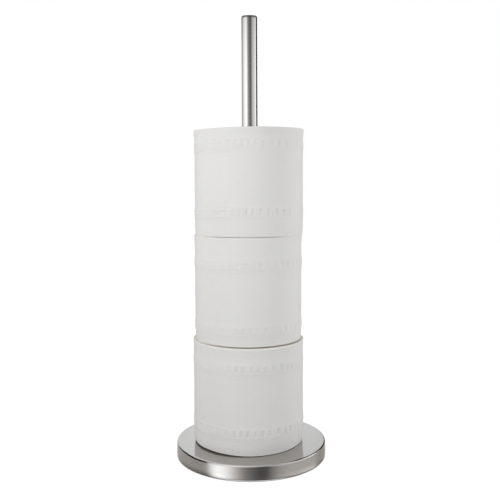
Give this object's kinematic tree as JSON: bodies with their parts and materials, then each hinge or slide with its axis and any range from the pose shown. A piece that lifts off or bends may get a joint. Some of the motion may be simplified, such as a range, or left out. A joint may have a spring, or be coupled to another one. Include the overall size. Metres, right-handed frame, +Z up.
{
  "type": "toilet roll holder",
  "caption": "Free-standing spare toilet roll holder: a weighted round steel base with one upright pole that carries a stack of lift-off rolls.",
  "frame": {"origin": "centre of the round base, on the floor", "axes": "+Z up along the pole, front of the picture towards -Y, +X to the picture's right"},
  "size_m": [0.15, 0.15, 0.433],
  "materials": {
    "satin_steel": "fine satin stainless steel, brushed round the pole and the base, glossy enough to mirror the roll above it",
    "plated_steel": "zinc-plated fixing screw, washers and insert",
    "cast_iron": "rough cast, unpainted",
    "black_plastic": "moulded, matt",
    "black_rubber": "moulded, non-slip",
    "tissue": null,
    "core_board": "grey-brown spiral-wound board tube"
  },
  "bodies": {
    "stand": {"base_cover": "satin_steel", "base_weight": "cast_iron", "base_plate": "black_plastic", "foot_ring": "black_rubber", "pole_screw": "plated_steel", "spring_washer": "plated_steel", "flat_washer": "plated_steel", "pole_tube": "satin_steel", "pole_insert": "plated_steel", "pole_cap": "satin_steel"},
    "lower_roll": {"lower_roll_core": "core_board", "lower_roll_paper": "tissue"},
    "middle_roll": {"middle_roll_core": "core_board", "middle_roll_paper": "tissue"},
    "upper_roll": {"upper_roll_core": "core_board", "upper_roll_paper": "tissue"}
  },
  "joints": [
    {"name": "lower_roll_lift", "type": "slide", "parent": "stand", "child": "lower_roll", "axis": [0, 0, 1], "range_m": [0, 0.423]},
    {"name": "middle_roll_lift", "type": "slide", "parent": "lower_roll", "child": "middle_roll", "axis": [0, 0, 1], "range_m": [0, 0.321]},
    {"name": "upper_roll_lift", "type": "slide", "parent": "middle_roll", "child": "upper_roll", "axis": [0, 0, 1], "range_m": [0, 0.219]}
  ]
}
